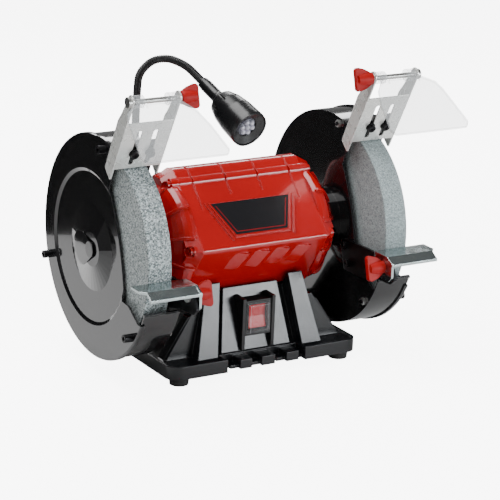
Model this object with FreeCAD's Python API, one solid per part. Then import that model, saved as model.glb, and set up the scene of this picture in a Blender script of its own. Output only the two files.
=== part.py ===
import FreeCAD, Part
import math
import os

# Bench grinder, in millimetres. +X runs along the shaft, +Y to the back, +Z up.
# The origin is on the bench, under the middle of the shaft.

V = FreeCAD.Vector

# Driving dimensions
SHAFT_Z = 128.0            # shaft centre above the bench
WHEEL_R = 100.0
WHEEL_W = 25.0
WHEEL_X = 133.0            # middle of each wheel
ARBOR_R = 8.0
RUNNING_GAP = 0.05         # radial clearance where one piece turns in another
M4_R = 2.1                 # clearance hole for an M4 screw

WHEEL_IN = WHEEL_X - WHEEL_W / 2
WHEEL_OUT = WHEEL_X + WHEEL_W / 2
FLANGE_R = 37.0            # clamping flange beside the wheel
FLANGE_W = 4.3
BLOTTER_W = 0.5
NUT_X0 = WHEEL_OUT + 3.6
NUT_W = 6.0
NUT_ACROSS = 24.0
NUT_FACE_R = 13.9          # of the face turned on the nut
BOSS_X = WHEEL_IN - BLOTTER_W - FLANGE_W     # shoulder that the inner flange sits against

GUARD_R = 110.0
GUARD_SHEET = 1.5
GUARD_X0 = 112.4           # motor side of the guard's inner plate
COVER_X = 152.0            # outer face of the guard's cover
COVER_R = 111.6
COVER_SHEET = 1.8
GUARD_SCREW_RING = 24.0
COVER_SCREW_RING = 104.2
COVER_SCREW_ANGLES = (-10.8, 109.2, 229.2)   # from straight up, towards the back
HEAD_W = 7.6               # height of a cover screw's head
PAN_Y = 12.0               # middle of the cover's sunken pan and of its bulge's foot
PAN_Z = -3.0
PAN_R = 76.0
PAN_DEEP = 2.0

MOTOR_HALF = 70.0
MOTOR_WALL = 3.0
# Corners of the motor's section as (y, height over the shaft), and their rounding
MOTOR_SECTION = [(-72.7, 4.1), (-6.0, 70.0), (6.0, 70.0), (72.7, 4.1), (31.5, -53.4), (-31.5, -53.4)]
MOTOR_ROUNDING = [4.0, 10.0, 10.0, 4.0, 8.0, 8.0]
STATOR_R = 50.0
BOSS_R = 6.0               # of the bosses for the end caps' screws
CAP_SCREW_R = 2.0
CAP_FLANGE = 8.0
CAP_X1 = 100.4             # the bell's end, where the guard's collar sits
CAP_DRAW = 0.89            # how far the section is drawn in over the bell's shoulder
CAP_SHOULDER = 14.0
COLLAR_R = 30.0
CAP_SCREWS = [(-62.0, 3.5), (62.0, 3.5), (-13.0, 57.5), (13.0, 57.5), (-28.0, -43.5), (28.0, -43.5)]

BEARING_X0 = 84.0
BEARING_W = 12.0
BEARING_MIDDLE = BEARING_X0 + BEARING_W / 2
BEARING_OUT_R = 20.0
BEARING_IN_R = 8.5
BALL_R = 3.4
BALL_RING = 14.25
BALLS = 8
CAGE_W = 9.2

BASE_FOOT_X = 91.6
BASE_FOOT_Y = 66.7
BENCH_HOLE_R = 3.25
FOOT_H = 8.0
LEDGE_TOP = 20.0
LEDGE_X = 107.3
LEDGE_Y = 80.0
BASE_TOP = 82.0
PANEL_LOW = (-58.0, 20.0)  # front of the middle panel, as (y, height) at its foot and its top
PANEL_HIGH = (-42.2, 82.0)

SWITCH_Z0 = 35.0
SWITCH_Z1 = 71.0
SWITCH_FRONT = -60.0
ROCKER_Y = -50.0           # the rocker's pin
ROCKER_Z = 53.0
ROCKER_PIN_R = 1.5
ROCKER_REST = -5.0         # degrees that the rocker leans when off

GLAND_X = -55.0
GLAND_Y = 64.6             # face that the cable gland's flange sits on
GLAND_Z = 34.0
GLAND_R = 8.0
GLAND_FLANGE_R = 10.5
CABLE_BORE_R = 3.6

SPARK_ANGLE = 61.5         # of the spark plate, above the front of the shaft
SPARK_X0 = 107.5
SPARK_X1 = 158.0
SPARK_SHEET = 1.5
SPARK_SCREWS_X = (124.0, 141.0)
SPARK_SCREW_OUT = 121.0    # out from the shaft, along the spark plate
SPARK_SLOT = (109.0, 146.0)
SLOT_R = 2.6
HINGE_R = 181.5            # the eye shield's hinge, out from the shaft
HINGE_BACK = 5.2           # and behind the spark plate's front
HINGE_BOLT_R = 2.5
SHIELD_TILT = 34.0         # below level
SHIELD_SHEET = 2.2
SHIELD_LIFT = 4.0          # of the sheet's lower face over the hinge line
SLEEVES_X = (111.0, 146.0)
SLEEVE_W = 9.0

REST_TOP = -8.2
REST_SHEET = 2.5
REST_BACK = -102.2
REST_BEND = -124.5
REST_SCREW = (-118.0, -20.0)
REST_BOLT_R = 3.0
REST_TRAVEL = 8.0
ARM_SHEET = 3.0
ARM_X0 = GUARD_X0 - ARM_SHEET
ARM_SCREWS = ((-44.0, -19.0), (-50.0, -36.0))

KNOB_LENGTH = 16.0
KNOB_HOLE = 12.5           # depth of the hole for its bolt

# The lamp's flexible neck: corners of its route, and the way its head points
NECK_R = 4.1
NECK_ROUTE = [V(-78.5, 60, 178), V(-80, 56, 220), V(-82, 50, 261), V(-83.5, 44, 285),
              V(-74, 34, 299.5), V(-60.5, 24.5, 302.2), V(-50.5, 7.1, 297.3), V(-46.4, -23.6, 284.5)]
HEAD_WAY = (NECK_ROUTE[-1] - NECK_ROUTE[-2]).normalize()
HEAD_START = 25.0          # where the head begins, from the neck's end
HEAD_END = 77.0
BOARD_AT = 69.5
BOARD_R = 9.6
BOARD_W = 1.2
DIODE_R = 2.5
DIODE_RING = 6.0


def axis_point(y, z, x=0.0):
    """A point given by its y and its height over the shaft."""
    return V(x, y, SHAFT_Z + z)


def disc(x0, x1, radius, y=0.0, z=0.0):
    """A round bar along the shaft's direction, placed by its height over the shaft."""
    return Part.makeCylinder(radius, x1 - x0, axis_point(y, z, x0), V(1, 0, 0))


def ring(x0, x1, outer, inner, y=0.0, z=0.0):
    return disc(x0, x1, outer, y, z).cut(disc(x0 - 1, x1 + 1, inner, y, z))


def cone_x(x0, x1, r0, r1, y, z):
    return Part.makeCone(r0, r1, x1 - x0, axis_point(y, z, x0), V(1, 0, 0))


def post(x, y, z0, z1, radius):
    return Part.makeCylinder(radius, z1 - z0, V(x, y, z0))


def block(x0, x1, y0, y1, z0, z1):
    return Part.makeBox(x1 - x0, y1 - y0, z1 - z0, V(x0, y0, z0))


def outline(corners, radii=0.0):
    """A closed wire through the corners, each rounded by its radius."""
    if not isinstance(radii, (list, tuple)):
        radii = [radii] * len(corners)
    bends = []
    for index, corner in enumerate(corners):
        if radii[index] == 0:
            bends.append((corner, None, corner))
            continue
        back = (corners[index - 1] - corner).normalize()
        onward = (corners[(index + 1) % len(corners)] - corner).normalize()
        half = back.getAngle(onward) / 2
        reach = radii[index] / math.tan(half)
        middle = corner + (back + onward).normalize() * (radii[index] / math.sin(half) - radii[index])
        bends.append((corner + back * reach, middle, corner + onward * reach))
    edges = []
    for index, (start, middle, end) in enumerate(bends):
        if middle is not None:
            edges.append(Part.Arc(start, middle, end).toShape())
        following = bends[(index + 1) % len(bends)][0]
        edges.append(Part.LineSegment(end, following).toShape())
    return Part.Wire(edges)


def plate(corners, along, radii=0.0):
    """A flat-ended solid: the outline through the corners, pushed along a vector."""
    return Part.Face(outline(corners, radii)).extrude(along)


def plate_x(corners, x0, x1, radii=0.0):
    """A plate across the shaft, its corners as (y, height over the shaft)."""
    return plate([axis_point(y, z, x0) for y, z in corners], V(x1 - x0, 0, 0), radii)


def taper_block(z0, low, z1, high):
    """A block between two level rectangles, each given as (x0, x1, y0, y1)."""
    rings = []
    for z, (x0, x1, y0, y1) in ((z0, low), (z1, high)):
        rings.append([V(x0, y0, z), V(x1, y0, z), V(x1, y1, z), V(x0, y1, z)])
    foot, head = rings
    sides = [[foot[i - 1], foot[i], head[i], head[i - 1]] for i in range(4)]
    faces = [Part.Face(Part.makePolygon(side + side[:1])) for side in sides + rings]
    return Part.makeSolid(Part.makeShell(faces))


def turned(corners):
    """A solid turned about the shaft, its corners as (x, radius)."""
    points = [axis_point(0, radius, x) for x, radius in corners]
    face = Part.Face(Part.makePolygon(points + points[:1]))
    return face.revolve(axis_point(0, 0), V(1, 0, 0), 360)


def turned_at(corners, base, way):
    """A solid turned about an axis from base along way, its corners as (distance, radius)."""
    side = way.cross(V(0, 0, 1)).normalize()
    points = [base + way * distance + side * radius for distance, radius in corners]
    face = Part.Face(Part.makePolygon(points + points[:1]))
    return face.revolve(base, way, 360)


def hexagon(x0, x1, across, y=0.0, z=0.0):
    """A hexagonal nut or head along the shaft's direction."""
    corner = across / math.sqrt(3)
    turns = [math.radians(60 * step) for step in range(6)]
    return plate_x([(y + corner * math.cos(a), z + corner * math.sin(a)) for a in turns], x0, x1)


def join(first, *others):
    return first.multiFuse(list(others)).removeSplitter()


def turn(shape, degrees):
    """The shape turned about the shaft, from the top towards the front."""
    copy = shape.copy()
    copy.rotate(axis_point(0, 0), V(1, 0, 0), degrees)
    return copy


def other_side(shape):
    return shape.mirror(V(0, 0, 0), V(1, 0, 0))


def to_back(shape):
    return shape.mirror(V(0, 0, 0), V(0, 1, 0))


def both(*shapes):
    """The shapes and their mirror images, for a node that holds both sides."""
    return list(shapes) + [other_side(shape) for shape in shapes]


def save(node, *shapes):
    solids = [solid for shape in shapes for solid in shape.Solids]
    shape = solids[0] if len(solids) == 1 else Part.makeCompound(solids)
    shape.exportStep("parts/" + node + ".step")


def save_sides(node, *shapes):
    """Writes the right-hand node and its mirror image on the left."""
    save("right_" + node, *shapes)
    save("left_" + node, *[other_side(shape) for shape in shapes])


# Rotor ---------------------------------------------------------------------------------------

def shaft():
    """Stepped steel shaft: thick in the motor, then bearing seats, shoulders and threaded ends."""
    end = NUT_X0 + NUT_W + 0.8
    half = turned([(0, 0), (0, 10), (76, 10), (78, BEARING_IN_R), (98, BEARING_IN_R), (98, 9.6),
                   (BOSS_X, 9.6), (BOSS_X, ARBOR_R), (end - 1, ARBOR_R), (end, ARBOR_R - 1), (end, 0)])
    return join(half, other_side(half))


def rotor_core():
    """Stack of laminations with its cast end rings."""
    stack = ring(-32, 32, 29.5, 10)
    ends = [ring(x, x + 6, 27, 15) for x in (-38, 32)]
    blades = []
    for step in range(8):
        for x in (-44, 38):
            blades.append(turn(block(x, x + 6, -1.2, 1.2, SHAFT_Z + 17, SHAFT_Z + 26), 45 * step))
    return join(stack, *(ends + blades))


def wheel():
    """Grinding wheel with its bore and lightly broken edges."""
    body = turned([(WHEEL_IN, ARBOR_R + 0.1), (WHEEL_IN, WHEEL_R - 0.6), (WHEEL_IN + 0.6, WHEEL_R),
                   (WHEEL_OUT - 0.6, WHEEL_R), (WHEEL_OUT, WHEEL_R - 0.6), (WHEEL_OUT, ARBOR_R + 0.1)])
    return body


def flanges():
    """Dished steel flanges that clamp the wheel, one each side."""
    x0, x1 = BOSS_X, WHEEL_IN - BLOTTER_W
    inner = turned([(x0, ARBOR_R), (x0, 16), (x0 + 1.5, FLANGE_R - 3), (x1 - 1.2, FLANGE_R),
                    (x1, FLANGE_R), (x1, 28), (x1 - 0.8, 27), (x1 - 0.8, ARBOR_R)])
    x2, x3 = WHEEL_OUT + BLOTTER_W, NUT_X0
    outer = turned([(x2, FLANGE_R), (x2 + 1.2, FLANGE_R), (x3 - 0.4, 20), (x3, 18), (x3, ARBOR_R),
                    (x2 + 0.8, ARBOR_R), (x2 + 0.8, 27), (x2, 28)])
    return inner, outer


def blotters():
    return (ring(WHEEL_IN - BLOTTER_W, WHEEL_IN, FLANGE_R + 2, 8.6),
            ring(WHEEL_OUT, WHEEL_OUT + BLOTTER_W, FLANGE_R + 2, 8.6))


def arbor_nut():
    """Flat hexagon nut with its corners turned off."""
    x0, x1 = NUT_X0, NUT_X0 + NUT_W
    nut = hexagon(x0, x1, NUT_ACROSS)
    form = turned([(x0, 0), (x0, NUT_FACE_R), (x1 - 1.2, NUT_FACE_R), (x1, NUT_ACROSS / 2), (x1, 0)])
    return nut.common(form).cut(disc(x0 - 1, x1 + 1, ARBOR_R))


# Bearings ------------------------------------------------------------------------------------

def ball_places():
    """The balls' centres, evenly spaced round the bearing."""
    turns = [2 * math.pi * step / BALLS for step in range(BALLS)]
    return [axis_point(BALL_RING * math.cos(a), BALL_RING * math.sin(a), BEARING_MIDDLE) for a in turns]


def bearing_rings():
    """Outer and inner ring of a bearing, the balls' groove turned into both."""
    x0, x1 = BEARING_X0, BEARING_X0 + BEARING_W
    groove = Part.makeTorus(BALL_RING, BALL_R + RUNNING_GAP, axis_point(0, 0, BEARING_MIDDLE), V(1, 0, 0))
    outer = ring(x0, x1, BEARING_OUT_R, 16.4).cut(groove)
    inner = ring(x0, x1, 12.1, BEARING_IN_R).cut(groove)
    return outer, inner


def bearing_balls():
    return [Part.makeSphere(BALL_R, centre) for centre in ball_places()]


def bearing_cage():
    """Pressed ring that keeps the balls apart."""
    cage = ring(BEARING_MIDDLE - CAGE_W / 2, BEARING_MIDDLE + CAGE_W / 2, BALL_RING + 0.75, BALL_RING - 0.65)
    pockets = [Part.makeSphere(BALL_R + 0.01, centre) for centre in ball_places()]
    return cage.cut(Part.makeCompound(pockets))


# Motor housing -------------------------------------------------------------------------------

SLOPE_FOOT = axis_point(*MOTOR_SECTION[0])
SLOPE_UP = (axis_point(*MOTOR_SECTION[1]) - SLOPE_FOOT).normalize()
SLOPE_OUT = V(0, -SLOPE_UP.z, SLOPE_UP.y)
UNDER_DOWN = (axis_point(*MOTOR_SECTION[5]) - SLOPE_FOOT).normalize()
UNDER_OUT = V(0, UNDER_DOWN.z, -UNDER_DOWN.y)
# The label's trapezoid on the upper slope, as (x, distance up from the nose)
LABEL = [(-29.0, 15.0), (29.0, 15.0), (44.0, 51.0), (-44.0, 51.0)]
LABEL_DEEP = 1.0
LOUVRES_X = (-38.0, -15.0, 8.0, 32.0)
LOUVRE_W = 17.0
LOUVRE_H = 2.8


def motor_prism(x0, x1, grow=0.0):
    """The motor's section between two places along the shaft, grown outwards or inwards."""
    wire = outline([axis_point(y, z, x0) for y, z in MOTOR_SECTION], MOTOR_ROUNDING)
    face = Part.Face(wire)
    if grow:
        face = Part.Face(face.makeOffset2D(grow).Wires[0])
    return face.extrude(V(x1 - x0, 0, 0))


def on_slope(corners, low, high, radii=0.0):
    """A plate on the motor's upper front slope, its corners as (x, distance up from the nose)."""
    points = [SLOPE_FOOT + V(x, 0, 0) + SLOPE_UP * up + SLOPE_OUT * low for x, up in corners]
    return plate(points, SLOPE_OUT * (high - low), radii)


def rib_on_slope(start, end, width, low, high):
    """A straight rib on the slope between two (x, distance up) points."""
    run = V(end[0] - start[0], end[1] - start[1], 0).normalize()
    side = V(-run.y, run.x, 0) * (width / 2)
    first, last = V(start[0], start[1], 0), V(end[0], end[1], 0)
    corners = [first - side, last - side, last + side, first + side]
    return on_slope([(c.x, c.y) for c in corners], low, high)


def label_frame():
    """Two raised ribs, one inside the other, down both sides of the label and under it."""
    ribs = []
    for gap, width, high in ((2.6, 1.6, 1.6), (6.4, 1.8, 1.8)):
        left = [(LABEL[3][0] - gap * 1.1, LABEL[3][1] + 1), (LABEL[0][0] - gap * 0.8, LABEL[0][1] - gap)]
        right = [(-x, up) for x, up in left]
        ribs.append(rib_on_slope(left[0], left[1], width, -0.5, high))
        ribs.append(rib_on_slope(right[0], right[1], width, -0.5, high))
        if gap < 5:
            ribs.append(rib_on_slope(left[1], right[1], width, -0.5, high))
    return ribs


def top_grooves():
    """Four shallow grooves that run up the slope and over the top."""
    grooves = []
    for x, start in ((-55.0, 46.0), (-18.0, 60.0), (18.0, 60.0), (55.0, 46.0)):
        groove = on_slope([(x - 1, start), (x + 1, start), (x + 1, 98), (x - 1, 98)], -1.2, 3)
        grooves += [groove, to_back(groove), block(x - 1, x + 1, -12, 12, SHAFT_Z + 68.8, SHAFT_Z + 72)]
    return grooves


def louvres():
    """Slanting scoops under the nose, each open on its right-hand edge."""
    scoops, slots = [], []
    for x in LOUVRES_X:
        ramp = []
        for lean, down in ((3.0, 9.0), (-3.0, 32.0)):
            start = SLOPE_FOOT + UNDER_DOWN * down + V(x + lean, 0, 0)
            far = start + V(LOUVRE_W, 0, 0)
            near_foot, far_foot = start - UNDER_OUT * 0.5, far - UNDER_OUT * 0.5
            ramp.append(Part.makePolygon([near_foot, far_foot, far + UNDER_OUT * LOUVRE_H, near_foot]))
        scoops.append(Part.makeLoft(ramp, True, True))
        corners = [SLOPE_FOOT + UNDER_DOWN * down + V(x + LOUVRE_W + lean + side, 0, 0) - UNDER_OUT * 6
                   for lean, down, side in ((3, 10, 0.4), (3, 10, 3.0), (-3, 31, 3.0), (-3, 31, 0.4))]
        slots.append(plate(corners, UNDER_OUT * 8))
    return scoops, slots


def motor_housing():
    """Six-sided cast shell with the label's recess and ribs, grooves, louvres and screw bosses."""
    shell = motor_prism(-MOTOR_HALF, MOTOR_HALF)
    inside = motor_prism(-MOTOR_HALF - 1, MOTOR_HALF + 1, -MOTOR_WALL)
    shell = shell.cut(inside)
    scoops, slots = louvres()
    stator_room = disc(-MOTOR_HALF, MOTOR_HALF, STATOR_R + 0.2)
    bosses = [disc(-MOTOR_HALF, MOTOR_HALF, BOSS_R, y, z).cut(stator_room) for y, z in CAP_SCREWS]
    shell = join(shell, *(label_frame() + scoops + [to_back(scoop) for scoop in scoops] + bosses))
    holes = [disc(-MOTOR_HALF - 1, MOTOR_HALF + 1, CAP_SCREW_R, y, z) for y, z in CAP_SCREWS]
    recess = on_slope(LABEL, -LABEL_DEEP, 3)
    cuts = top_grooves() + slots + [to_back(slot) for slot in slots] + holes + [recess]
    return shell.cut(Part.makeCompound(cuts)).common(motor_prism(-MOTOR_HALF, MOTOR_HALF, 3.5))


def drawn_section(x0, x1, scale):
    """The motor's section with sharp corners, shrinking towards x1."""
    rings = [[axis_point(y * s, z * s, x) for y, z in MOTOR_SECTION] for x, s in ((x0, 1.0), (x1, scale))]
    foot, head = rings
    sides = [[foot[i - 1], foot[i], head[i], head[i - 1]] for i in range(len(foot))]
    faces = [Part.Face(Part.makePolygon(points + points[:1])) for points in sides + rings]
    return Part.makeSolid(Part.makeShell(faces))


def bell(grow=0.0):
    """The round part of an end cap, swelling at its rim and closing towards the guard."""
    x = MOTOR_HALF
    side = ((0, 58.0), (4, 60.0), (8, 59.2), (12, 57.0), (16, 53.0), (20, 48.0), (25, 41.0))
    side = [(x + along, radius + grow) for along, radius in side]
    return turned([(x, 0)] + side + [(CAP_X1, 33.0 + grow), (CAP_X1, 0)])


def end_cap_form():
    """An end cap's outer form: drawn-in shoulder, bell, radiating fins and screw bosses."""
    x0 = MOTOR_HALF
    shoulder = drawn_section(x0, x0 + CAP_SHOULDER, CAP_DRAW)
    shoulder = shoulder.common(motor_prism(x0, x0 + CAP_SHOULDER, 0.3))
    fins = []
    for step in range(12):
        fin = plate_x([(-1.3, COLLAR_R), (1.3, COLLAR_R), (1.3, 64), (-1.3, 64)], x0 + 2, CAP_X1)
        fins.append(turn(fin, 30 * step + 15))
    fins = join(*fins).common(bell(2.6))
    bosses = [disc(x0, x0 + CAP_FLANGE, BOSS_R, y, z) for y, z in CAP_SCREWS]
    return join(shoulder, bell(), fins, *bosses)


def end_cap():
    """Cast end of the motor, hollow inside, with the bearing's pocket and all its screw ways."""
    x0, x1 = MOTOR_HALF, CAP_X1
    head_ways = [disc(x0 + CAP_FLANGE, x1 + 20, 4.6, y, z) for y, z in CAP_SCREWS]
    cap = end_cap_form().cut(Part.makeCompound(head_ways))
    hollow = turned([(x0 - 1, 0), (x0 - 1, 46), (x0 + CAP_FLANGE, 46), (x0 + 20, 37), (x0 + 20, 0)])
    cap = join(cap.cut(hollow), disc(x0 + 10, x1, 25))
    cap = cap.cut(disc(x0, BEARING_X0 + BEARING_W, BEARING_OUT_R)).cut(disc(x0, x1 + 1, 11))
    screw_ways = [disc(x0 - 1, x0 + CAP_FLANGE + 1, CAP_SCREW_R, y, z) for y, z in CAP_SCREWS]
    guard_ways = [disc(x1 - 8, x1 + 1, 2.5, y, z) for y, z in guard_screw_places()]
    return cap.cut(Part.makeCompound(screw_ways + guard_ways))


def cap_screws():
    """Cross-head screws that hold both end caps to the housing."""
    screws = []
    x = MOTOR_HALF + CAP_FLANGE
    for y, z in CAP_SCREWS:
        screw = join(disc(x - 24, x, CAP_SCREW_R, y, z), disc(x, x + 3.0, 4.0, y, z))
        cross = [block(x + 1.5, x + 4, y - 0.6, y + 0.6, SHAFT_Z + z - 2.4, SHAFT_Z + z + 2.4),
                 block(x + 1.5, x + 4, y - 2.4, y + 2.4, SHAFT_Z + z - 0.6, SHAFT_Z + z + 0.6)]
        screws.append(screw.cut(Part.makeCompound(cross)))
    return screws


def stator_core():
    """Ring of laminations with slots for the windings."""
    core = ring(-30, 30, STATOR_R, 30.2)
    slots = [turn(block(-31, 31, -2.0, 2.0, SHAFT_Z + 31.5, SHAFT_Z + 42), 15 * step) for step in range(24)]
    return core.cut(Part.makeCompound(slots))


def stator_windings():
    """Copper coils bulging out of both ends of the core."""
    end = turned([(30, 32), (30, 43), (34, 45), (46, 44), (49, 40), (46, 34), (34, 31.5)])
    coils = [turn(block(-31, 31, -1.7, 1.7, SHAFT_Z + 32.5, SHAFT_Z + 41.2), 15 * step) for step in range(24)]
    return join(end, other_side(end), *coils)


# Guards --------------------------------------------------------------------------------------

def guard_screw_places():
    """Four screws near the shaft that fix the guard to the end cap, as (y, height over the shaft)."""
    turns = [math.radians(45 + 90 * step) for step in range(4)]
    return [(GUARD_SCREW_RING * math.cos(a), GUARD_SCREW_RING * math.sin(a)) for a in turns]


def cover_screw_places():
    """Three screws through the guard's rim, as (y, height over the shaft)."""
    turns = [math.radians(a) for a in COVER_SCREW_ANGLES]
    return [(COVER_SCREW_RING * math.sin(a), COVER_SCREW_RING * math.cos(a)) for a in turns]


def mouth(x0, x1):
    """The space left open in front of the wheel, where the work goes."""
    top = math.radians(66)
    far = 160.0
    start = axis_point(-far * math.cos(top), far * math.sin(top), x0)
    high = axis_point(-68 * math.cos(top), 68 * math.sin(top), x0)
    middle, low = axis_point(-48.5, 16.0, x0), axis_point(-60.0, -37.3, x0)
    rest = [low, axis_point(-72.5, -38.5, x0), axis_point(-92.4, -50.8, x0), axis_point(-160, -50.8, x0),
            axis_point(-160, 146, x0), start, high]
    edges = [Part.Arc(high, middle, low).toShape()]
    edges += [Part.LineSegment(a, b).toShape() for a, b in zip(rest, rest[1:])]
    return Part.Face(Part.Wire(edges)).extrude(V(x1 - x0, 0, 0))


def drum_gap(x0, x1):
    """The wedge in front of the wheel where the drum's wall is missing."""
    low, high = math.radians(-21), math.radians(SPARK_ANGLE + 1.2)
    far = 170.0
    corners = [(0, 0), (-far * math.cos(low), far * math.sin(low)), (-far * 1.3, 0), (-far * 1.3, far),
               (-far * math.cos(high), far * math.sin(high))]
    return plate_x(corners, x0, x1)


def on_spark_plane(out, back, x=0.0):
    """A point by its distance out from the shaft along the spark plate, and back from it."""
    cosine, sine = math.cos(math.radians(SPARK_ANGLE)), math.sin(math.radians(SPARK_ANGLE))
    return axis_point(-out * cosine + back * sine, out * sine + back * cosine, x)


def spark_box(x0, x1, out0, out1, back0, back1):
    corners = [on_spark_plane(*p, x0) for p in ((out0, back0), (out1, back0), (out1, back1), (out0, back1))]
    return plate(corners, V(x1 - x0, 0, 0))


def guard():
    """Sheet-steel drum round the wheel with its inner plate and the tab for the spark plate."""
    x0, x1 = GUARD_X0, COVER_X - COVER_SHEET
    inner = disc(x0, x0 + GUARD_SHEET, GUARD_R).cut(mouth(x0 - 1, x0 + GUARD_SHEET + 1))
    drum = ring(x0, x1, GUARD_R, GUARD_R - GUARD_SHEET).cut(drum_gap(x0 - 1, x1 + 1))
    tab = spark_box(x0 + 3, x1 - 3, GUARD_R - GUARD_SHEET, 134, 1.6, 3.2)
    lip = turn(block(x0, x1, -GUARD_R - 1.2, -GUARD_R + 2.6, SHAFT_Z - 2.0, SHAFT_Z - 0.5), 21)
    shell = join(inner, drum, tab, lip, disc(CAP_X1, x0, COLLAR_R))
    ways = []
    for y, z in guard_screw_places():
        ways.append(disc(CAP_X1 - 1, x0 + 3, 2.6, y, z))
        ways.append(cone_x(x0 - 0.5, x0 + GUARD_SHEET + 0.01, 2.6, 4.6, y, z))
    ways += [disc(x0 - 1, x0 + 3, M4_R, y, z) for y, z in cover_screw_places()]
    for x in SPARK_SCREWS_X:
        ways.append(Part.makeCylinder(2.0, 8, on_spark_plane(SPARK_SCREW_OUT, -2, x), spark_back()))
    ways.append(disc(CAP_X1 - 1, x0 + 3, 14))
    ways += [disc(x0 - 1, x0 + 3, M4_R, y, z) for y, z in ARM_SCREWS]
    return shell.cut(Part.makeCompound(ways))


def spark_back():
    """The direction that points back from the spark plate."""
    return (on_spark_plane(0, 1) - on_spark_plane(0, 0)).normalize()


def bulge(x0, radius0, x1, radius1):
    """A leaning cone from the pan towards the shaft's end, in flat strips."""
    rings = []
    for x, y, z, radius in ((x0, PAN_Y + 1, PAN_Z, radius0), (x1, -8.0, 1.0, radius1)):
        turns = [math.radians(10 * step) for step in range(36)]
        rings.append([axis_point(y + radius * math.cos(a), z + radius * math.sin(a), x) for a in turns])
    foot, head = rings
    strips = [[foot[i - 1], foot[i], head[i], head[i - 1]] for i in range(36)]
    faces = [Part.Face(Part.makePolygon(points + points[:1])) for points in strips + rings]
    return Part.makeSolid(Part.makeShell(faces))


def cover():
    """Pressed outer cover: turned-over rim, sunken pan and a leaning bulge over the arbor's nut."""
    face, back = COVER_X, COVER_X - COVER_SHEET
    lip = COVER_R - 1.4
    rim = [(face, COVER_R - 1.6), (face - 0.5, COVER_R - 0.5), (face - 1.6, COVER_R), (face - 5, COVER_R)]
    sheet = turned([(back, 0), (face, 0)] + rim + [(face - 5, lip), (back, lip)])
    pan_back = cone_x(back - PAN_DEEP, back, PAN_R, PAN_R + 3.0, PAN_Y, PAN_Z)
    pan_front = cone_x(face - PAN_DEEP, face, PAN_R - 1.6, PAN_R + 1.6, PAN_Y, PAN_Z)
    body = join(sheet, pan_back).cut(pan_front)
    body = join(body, bulge(back - PAN_DEEP, 49.0, face + 7.5, 17.0), bulge(face + 7.5, 17.0, face + 9.6, 8.0))
    under = bulge(back - PAN_DEEP - 0.01, 47.0, face + 5.7, 16.0)
    under = join(under, bulge(face + 5.7, 16.0, face + 7.6, 7.5))
    ways = [disc(back - 1, COVER_X + 1, M4_R, y, z) for y, z in cover_screw_places()]
    body = body.cut(under).cut(mouth(back - 9, COVER_X + 14))
    return body.cut(Part.makeCompound(ways))


def cover_screws():
    """Socket-head screws standing on the cover, each through to a nut on the inner plate."""
    screws = []
    for y, z in cover_screw_places():
        top = COVER_X + HEAD_W
        head = disc(COVER_X, top, 4.0, y, z).cut(hexagon(COVER_X + 4, top + 1, 4.0, y, z))
        screws.append(join(head, disc(GUARD_X0 - 4, COVER_X, 2.0, y, z)))
    return screws


def cover_nuts():
    nuts = []
    for y, z in cover_screw_places():
        way = disc(GUARD_X0 - 4, GUARD_X0 + 1, 2.0, y, z)
        nuts.append(hexagon(GUARD_X0 - 3, GUARD_X0, 7.0, y, z).cut(way))
    return nuts


def cover_spacers():
    """Tubes that hold the cover away from the inner plate."""
    x0, x1 = GUARD_X0 + GUARD_SHEET, COVER_X - COVER_SHEET
    return [ring(x0, x1, 3.2, M4_R, y, z) for y, z in cover_screw_places()]


def guard_screws():
    """Countersunk screws from inside the guard, through its collar into the end cap."""
    x = GUARD_X0 + GUARD_SHEET
    screws = []
    for y, z in guard_screw_places():
        screw = join(cone_x(x - 1.9, x, 2.5, 4.4, y, z), disc(CAP_X1 - 8, x - 1.9, 2.5, y, z))
        screws.append(screw.cut(hexagon(x - 1.2, x + 1, 3.0, y, z)))
    return screws


# Spark plate and eye shield ------------------------------------------------------------------

def spark_bracket():
    """Bent steel bracket that straddles the guard: slotted front plate, two cheeks and hinge ears."""
    x0, x1 = SPARK_X0, SPARK_X1
    front = spark_box(x0, x1, 102.2, 158.5, 0, SPARK_SHEET)
    for x in SPARK_SCREWS_X:
        low, high = SPARK_SLOT
        ends = [Part.makeCylinder(SLOT_R, 4, on_spark_plane(out, -1, x), spark_back()) for out in SPARK_SLOT]
        front = front.cut(join(spark_box(x - SLOT_R, x + SLOT_R, low, high, -1, 3), *ends))
    cheeks = []
    for x in (x0, x1 - SPARK_SHEET):
        corners = [(89, 0), (93, 14), (150, 16.5), (160, 14), (176, 11.5), (188, 10.5), (188, 0)]
        cheek = plate([on_spark_plane(out, back, x) for out, back in corners], V(SPARK_SHEET, 0, 0),
                      [1.5, 3, 3, 3, 3, 4.5, 4.5])
        cheeks.append(cheek)
    bracket = join(front, *cheeks)
    return bracket.cut(hinge_bar(x0 - 1, x1 + 1, HINGE_BOLT_R))


def hinge_bar(x0, x1, radius):
    """A round bar on the eye shield's hinge line."""
    return Part.makeCylinder(radius, x1 - x0, on_spark_plane(HINGE_R, HINGE_BACK, x0), V(1, 0, 0))


def hinge_bolt():
    """Hinge bolt with its round head outside and a threaded end for the knob."""
    head = hinge_bar(SPARK_X1, SPARK_X1 + 3.5, 5.2)
    bolt = join(hinge_bar(SPARK_X0 - KNOB_HOLE - 1.2, SPARK_X1 + 3.5, HINGE_BOLT_R), head)
    collar = hinge_bar(SPARK_X0 - 1.6, SPARK_X0, 4.6)
    return join(bolt, collar)


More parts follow.
